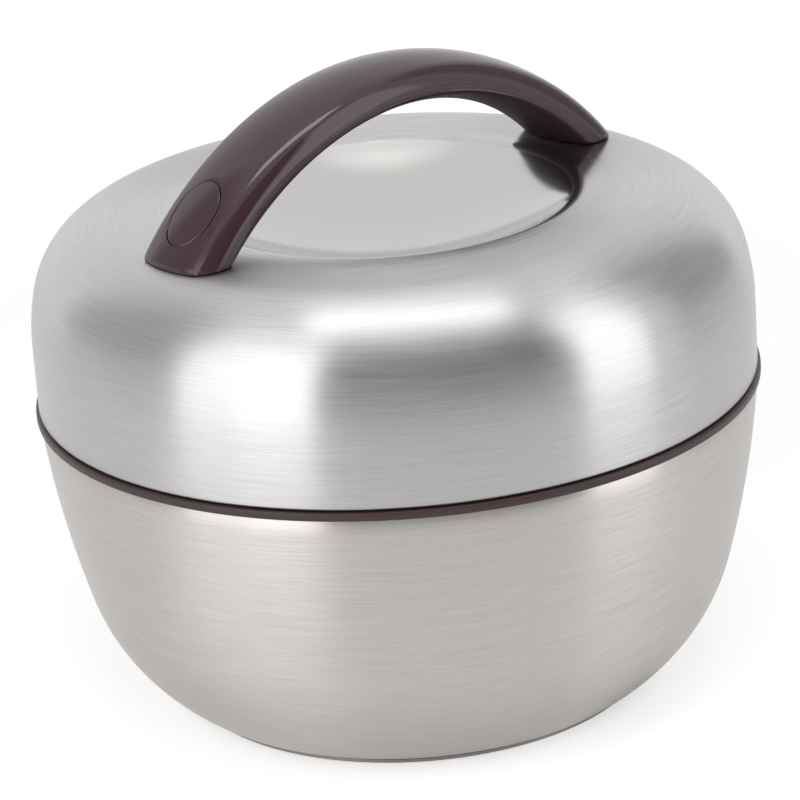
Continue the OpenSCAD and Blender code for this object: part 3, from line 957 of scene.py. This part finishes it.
# %% [markdown]
# ## Covers over the screws
#
# Each foot is screwed down through a well, and a plug closes the well flush with the handle. The
# plug is a round button, turned on its own axis, whose top is then lifted onto the crowned
# surface. A cutter made the same way, a hair wider and flared at its mouth, opens the well, so
# the joint between the two is an even groove with softly rounded lips.

# %% Cover buttons
SCREW_X = 62.742
WELL_FLOOR = 137.857
# A height that stands for the floor of the well, far below all heights from the crown
FLOOR_MARK = -10
BUTTON_STEPS = 96
WALL_LOOP = -0.8
COVER_R = 6.98
COVER_ROUND = 0.28
COVER_RINGS = (1.5, 3.0, 4.5, 5.6, 6.4)


def crown_height(x, y):
    """Height of the handle's crowned top over a point, in metres."""
    across = CROWN["centre"] + math.sqrt(CROWN["curve"] ** 2 - (y / MM) ** 2)
    return (ARCH_Z + math.sqrt(across ** 2 - (x / MM) ** 2)) * MM


def turn_button(side, start, moves, corners=()):
    """Turn a button round the screw's axis. Heights are from the crown, or mark the floor."""
    bm = draw_profile(start, moves)
    for r, z, radius in corners:
        round_corner(bm, r, z, radius, segments=5)
    bmesh.ops.spin(
        bm, geom=bm.verts[:] + bm.edges[:], cent=(0, 0, 0), axis=(0, 0, 1),
        angle=2 * math.pi, steps=BUTTON_STEPS, use_merge=True
    )
    bmesh.ops.remove_doubles(bm, verts=bm.verts, dist=FINE_WELD)
    bmesh.ops.translate(bm, verts=bm.verts, vec=(side * SCREW_X * MM, 0, 0))
    for vert in bm.verts:
        if vert.co.z > FLOOR_MARK / 2 * MM:
            vert.co.z += crown_height(vert.co.x, vert.co.y)
        else:
            vert.co.z = (WELL_FLOOR + HAIRLINE) * MM
    bmesh.ops.recalc_face_normals(bm, faces=bm.faces)
    return bm


button_moves = [(r, 0) for r in COVER_RINGS] + [
    (COVER_R, 0), (COVER_R, WALL_LOOP), (COVER_R, FLOOR_MARK), (0, FLOOR_MARK)
]
for side, name, node in (
    (-1, "front_cover", "screw_cover_front"), (1, "rear_cover", "screw_cover_rear")
):
    button = turn_button(side, (0, 0), button_moves, [(COVER_R, 0, COVER_ROUND)])
    make_piece(name, button, "lid", [node], [handle_plastic])

# %% [markdown]
# ## Opening the wells
#
# The cutters are subtracted from both halves with a Boolean modifier, which is applied, so that
# the finished halves are plain meshes again. Faces of the lower half that look down get the matt
# finish of the grip, in a darker brown that is painted shade.

# %% Bore the wells and finish the handle
UNDERSIDE_FACING = -0.45
WELL_R = 7.20
WELL_MOUTH = ((WELL_R, -0.30), (7.24, -0.18), (7.33, -0.07), (7.54, 0.04), (8.4, 0.6), (0, 0.6))


def bored(name, bm, cutters):
    """The bmesh of a half with the cutters taken away."""
    mesh = bpy.data.meshes.new(name)
    bm.to_mesh(mesh)
    bm.free()
    work = bpy.data.objects.new(name, mesh)
    scene.collection.objects.link(work)
    for cutter in cutters:
        bore = work.modifiers.new("well", "BOOLEAN")
        bore.operation = "DIFFERENCE"
        bore.solver = "EXACT"
        bore.object = cutter
    bpy.context.view_layer.update()
    depsgraph = bpy.context.evaluated_depsgraph_get()
    done = bpy.data.meshes.new_from_object(work.evaluated_get(depsgraph))
    bpy.data.objects.remove(work)
    result = bmesh.new()
    result.from_mesh(done)
    bpy.data.meshes.remove(done)
    return result


cutter_moves = [(WELL_R, FLOOR_MARK), (WELL_R, WALL_LOOP), *WELL_MOUTH]
cutters = []
for side in (-1, 1):
    cutter = turn_button(side, (0, FLOOR_MARK), cutter_moves)
    cutter_mesh = bpy.data.meshes.new("well_cutter")
    cutter.to_mesh(cutter_mesh)
    cutter.free()
    cutters.append(bpy.data.objects.new("well_cutter", cutter_mesh))
    scene.collection.objects.link(cutters[-1])

crown_half = bored("handle_crown", crown_half, cutters)
under_half = bored("handle_underside", under_half, cutters)
# Faces that look down get the matt plastic, whose darker brown is painted shade.
for face in under_half.faces:
    face.material_index = 1 if face.normal.z < UNDERSIDE_FACING else 0
make_piece("handle_crown", crown_half, "lid", ["handle_upper"], [handle_plastic])
make_piece(
    "handle_underside", under_half, "lid", ["handle_lower"],
    [handle_plastic, grip_plastic_painted_shade]
)
for cutter in cutters:
    bpy.data.objects.remove(cutter)

# %% [markdown]
# ## What stays as the CAD made it
#
# Foam, screws, washers and nut plates are sealed in. Their shapes are right already, so they only
# get their materials.

# %% Finishes for the kept nodes
kept = {
    "body_insulation": wall_foam, "lid_insulation": wall_foam, "handle_screws": fixing_steel,
    "handle_washers": fixing_steel, "handle_nut_plates": fixing_steel,
}
for node, finish in kept.items():
    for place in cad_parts[node].material_slots:
        place.material = finish
print("kept CAD nodes:", len(kept))

# %% [markdown]
# ## The studio
#
# Steel shows the room more than itself. The picture was lit by two tall softboxes on the left,
# one on the right and a strip overhead, with the dim room behind the camera between them.
# Directions are given from the camera: 0 is towards it and positive is to its right. Grey cards
# stand for the dim room, and fade to white at their edges so that the steel shows no hard line.
# They are there for reflections only, so they take no light away.

# %% Lamps and cards
TO_CAMERA = Vector((-0.650, -0.760, 0))
TO_RIGHT = Vector((0.760, -0.650, 0))
UP = Vector((0, 0, 1))
LAMP_R = 0.95
# Watts of a lamp of one square metre and radiance 1
LAMP_WATTS = 4
CARD_R = 1.5
CARD_STEPS = 36
CARD_ROWS = 12


def level_way(azimuth):
    """The level direction at an angle to the right of the camera."""
    a = math.radians(azimuth)
    return TO_CAMERA * math.cos(a) + TO_RIGHT * math.sin(a)


def softbox(name, place, back, width, height, radiance):
    """A rectangular lamp with its back to a direction; radiance 1 is about as bright as paper."""
    lamp = bpy.data.lights.new(name, "AREA")
    lamp.shape = "RECTANGLE"
    lamp.size, lamp.size_y = width, height
    lamp.energy = LAMP_WATTS * width * height * radiance
    holder = bpy.data.objects.new(name, lamp)
    holder.location = place
    holder.rotation_euler = (-back).to_track_quat("-Z", "Y").to_euler()
    holder.visible_camera = False
    scene.collection.objects.link(holder)
    return holder


def grey_card(name, first, last, foot, top, levels, side_fade, top_fade):
    """A curved card that only reflections see, between two azimuths and heights. Its grey runs
    from one level to another across it, and fades to white over a share of its width at both
    sides and of its height at the top."""
    bm = bmesh.new()
    start = level_way(first) * CARD_R
    bmesh.ops.create_grid(bm, x_segments=1, y_segments=CARD_ROWS, size=0.5)
    bmesh.ops.delete(bm, geom=[v for v in bm.verts if v.co.x > 0], context="VERTS")
    for vert in bm.verts:
        vert.co = (start.x, start.y, foot + (vert.co.y + 0.5) * (top - foot))
    bmesh.ops.spin(
        bm, geom=bm.verts[:] + bm.edges[:], cent=(0, 0, 0), axis=(0, 0, 1),
        angle=math.radians(last - first), steps=CARD_STEPS
    )
    shade = bm.verts.layers.float.new("shade")
    for vert in bm.verts:
        right, ahead = vert.co.xy.dot(TO_RIGHT.xy), vert.co.xy.dot(TO_CAMERA.xy)
        across = (math.degrees(math.atan2(right, ahead)) - first) / (last - first)
        side = min(across, 1 - across) / side_fade if side_fade else 1.0
        over = (top - vert.co.z) / (top - foot) / top_fade if top_fade else 1.0
        dim = max(0.0, min(side, 1.0)) * max(0.0, min(over, 1.0))
        level = levels[0] + (levels[1] - levels[0]) * across
        vert[shade] = 1 - (1 - level) * dim * dim * (3 - 2 * dim)
    mesh = bpy.data.meshes.new(name)
    bm.to_mesh(mesh)
    bm.free()
    grey, tree, shader = start_material(name + "_grey")
    tree.nodes.remove(shader)
    shade = add(tree, "ShaderNodeAttribute", {"attribute_name": "shade"})
    glow = add(
        tree, "ShaderNodeEmission", {"Color": (1, 1, 1, 1)}, {"Strength": shade.outputs["Fac"]}
    )
    tree.links.new(glow.outputs[0], tree.nodes["Material Output"].inputs["Surface"])
    mesh.materials.append(grey)
    card = bpy.data.objects.new(name, mesh)
    scene.collection.objects.link(card)
    card.visible_camera = card.visible_diffuse = card.visible_shadow = False
    card.visible_transmission = False


# Name, azimuth, height of its middle, width, height and radiance
SOFTBOXES = (
    ("left_softbox", -36, 0.44, 0.36, 1.40, 0.95),
    ("left_fill", -57, 0.44, 0.36, 1.40, 0.75),
    ("right_softbox", 68, 0.51, 0.40, 1.42, 0.84),
)
OVERHEAD_PLACE = TO_CAMERA * 0.11 + TO_RIGHT * 0.07 + UP * 1.15
OVERHEAD_SIZE = (0.74, 0.24)
OVERHEAD_RADIANCE = 3.1
OVERHEAD_TURN = -41.0
# Name, first and last azimuth, foot, top, grey levels, fade at the sides and at the top
CARDS = (
    ("front_card", -24, 54, 0.00, 2.60, (0.21, 0.05), 0.0, 0.25),
    ("left_card", -132, -64, 0.10, 3.60, (0.46, 0.46), 0.25, 0.45),
    ("right_card", 88, 145, 0.00, 2.80, (0.40, 0.40), 0.25, 0.45),
)

for name, azimuth, middle, width, height, radiance in SOFTBOXES:
    way = level_way(azimuth)
    softbox(name, way * LAMP_R + UP * middle, way, width, height, radiance)
strip = softbox("overhead_softbox", OVERHEAD_PLACE, UP, *OVERHEAD_SIZE, OVERHEAD_RADIANCE)
strip.rotation_euler = (0, 0, math.radians(OVERHEAD_TURN))
for card in CARDS:
    grey_card(*card)
print("lamps:", len(bpy.data.lights), "cards:", len(CARDS))

# %% [markdown]
# ## The background
#
# The background is plain white. The world is white for the camera, a little less for reflections
# and a softer grey for the light that it sheds. High up behind the box, reflections find a soft
# bright patch, which gives the dish its glow.

# %% World
WHITE = (1, 1, 1, 1)
SKY_LIGHT = 0.45
ROOM_WHITE = 0.88
GLOW_WHITE = 1.30
GLOW_RISE = math.radians(75)
GLOW_WAY = level_way(180) * math.cos(GLOW_RISE) + UP * math.sin(GLOW_RISE)
GLOW_SIZE = (0.40, 0.15, 1.0)

world = bpy.data.worlds.new("white_studio")
world.use_nodes = True
scene.world = world
tree = world.node_tree
rays = add(tree, "ShaderNodeLightPath")
mirrored = add(
    tree, "ShaderNodeMath", {"operation": "MAXIMUM"},
    {0: rays.outputs["Is Glossy Ray"], 1: rays.outputs["Is Transmission Ray"]}
)
way = add(tree, "ShaderNodeTexCoord")
off = add(
    tree, "ShaderNodeMapping",
    {
        "vector_type": "TEXTURE", "Location": GLOW_WAY, "Scale": GLOW_SIZE,
        "Rotation": (0, 0, math.atan2(TO_RIGHT.y, TO_RIGHT.x))
    },
    {"Vector": way.outputs["Generated"]}
)
away = add(tree, "ShaderNodeVectorMath", {"operation": "LENGTH"}, {0: off.outputs[0]})
glow = remap(tree, away.outputs["Value"], (0.0, 1.0), (GLOW_WHITE, ROOM_WHITE), ease=True)
room = add(
    tree, "ShaderNodeMapRange", {"To Min": SKY_LIGHT},
    {"Value": mirrored.outputs[0], "To Max": glow}
)
level = add(
    tree, "ShaderNodeMath", {"operation": "MAXIMUM"},
    {0: room.outputs["Result"], 1: rays.outputs["Is Camera Ray"]}
)
sky = tree.nodes["Background"]
sky.inputs["Color"].default_value = WHITE
tree.links.new(level.outputs[0], sky.inputs["Strength"])
print("the world is white")

# %% [markdown]
# ## The floor
#
# The floor is white paper that keeps the shadow. The camera sees it lighter than it is lit, more
# so far from the box, as paper looks in a catalogue. The steel sees it a little lighter too. Over
# one spot, at the foot on the side away from the lamps, it sees the paper as dark as it is lit,
# which paints a shade there, and towards the left lamps it sees a painted pool of light.

# %% Floor
PAPER_TONE = (0.88, 0.88, 0.88, 1)
# Lift for the camera: near the middle of the paper and far from it
PAPER_LIFTS = (0.42, 0.72)
PAPER_REACH = (0.15, 0.50)
# Lift for the steel, and the spot of painted shade where there is none
MIRROR_LIFT = 0.24
PAINTED_SHADE_SPOT = TO_CAMERA * 0.030 + TO_RIGHT * 0.048
PAINTED_SHADE_REACH = (0.008, 0.032)
# Painted pool of light for the steel: where it lies, how wide it spreads and how far out it begins
PAINTED_POOL_LIFT = 0.16
PAINTED_POOL_WAY = level_way(-47)
PAINTED_POOL_SPREAD = (math.cos(math.radians(28)), math.cos(math.radians(10)))
PAINTED_POOL_REACH = (0.09, 0.15)
FLOOR_R = 0.62
FLOOR_PLACE = level_way(180) * 0.25 - UP * 0.0003

paper, tree, shader = start_material("white_paper")
shader.inputs["Base Color"].default_value = PAPER_TONE
shader.inputs["Roughness"].default_value = 1.0
shader.inputs["Specular IOR Level"].default_value = 0.0
shader.inputs["Emission Color"].default_value = WHITE
rays = add(tree, "ShaderNodeLightPath")
place = add(tree, "ShaderNodeTexCoord")
away = add(tree, "ShaderNodeVectorMath", {"operation": "LENGTH"}, {0: place.outputs["Object"]})
seen = add(
    tree, "ShaderNodeMath", {"operation": "MULTIPLY"},
    {
        0: remap(tree, away.outputs["Value"], PAPER_REACH, PAPER_LIFTS),
        1: rays.outputs["Is Camera Ray"]
    }
)
# For the steel: a spot of painted shade near the foot and a painted pool of light towards the left
# lamps.
spot = add(tree, "ShaderNodeNewGeometry").outputs["Position"]
painted_shade_distance = add(tree, "ShaderNodeVectorMath", {"operation": "DISTANCE", 1: PAINTED_SHADE_SPOT}, {0: spot})
unit = add(tree, "ShaderNodeVectorMath", {"operation": "NORMALIZE"}, {0: spot})
facing = add(
    tree, "ShaderNodeVectorMath", {"operation": "DOT_PRODUCT", 1: PAINTED_POOL_WAY}, {0: unit.outputs[0]}
)
reach = add(tree, "ShaderNodeVectorMath", {"operation": "LENGTH"}, {0: spot})
painted_pool_and_shade = add(
    tree, "ShaderNodeMath", {"operation": "MULTIPLY_ADD"},
    {
        0: remap(tree, facing.outputs["Value"], PAINTED_POOL_SPREAD, (0.0, PAINTED_POOL_LIFT), ease=True),
        1: remap(tree, reach.outputs["Value"], PAINTED_POOL_REACH, ease=True),
        2: remap(tree, painted_shade_distance.outputs["Value"], PAINTED_SHADE_REACH, (0.0, MIRROR_LIFT), ease=True)
    }
)
mirrored = add(
    tree, "ShaderNodeMath", {"operation": "MULTIPLY"},
    {0: painted_pool_and_shade.outputs[0], 1: rays.outputs["Is Glossy Ray"]}
)
lift = add(
    tree, "ShaderNodeMath", {"operation": "MAXIMUM"}, {0: seen.outputs[0], 1: mirrored.outputs[0]}
)
tree.links.new(lift.outputs[0], shader.inputs["Emission Strength"])

sheet = bmesh.new()
bmesh.ops.create_circle(sheet, cap_ends=True, segments=96, radius=FLOOR_R)
floor_mesh = bpy.data.meshes.new("floor")
sheet.to_mesh(floor_mesh)
sheet.free()
floor_mesh.materials.append(paper)
floor = bpy.data.objects.new("floor", floor_mesh)
floor.location = FLOOR_PLACE
scene.collection.objects.link(floor)
print("the floor is white paper")
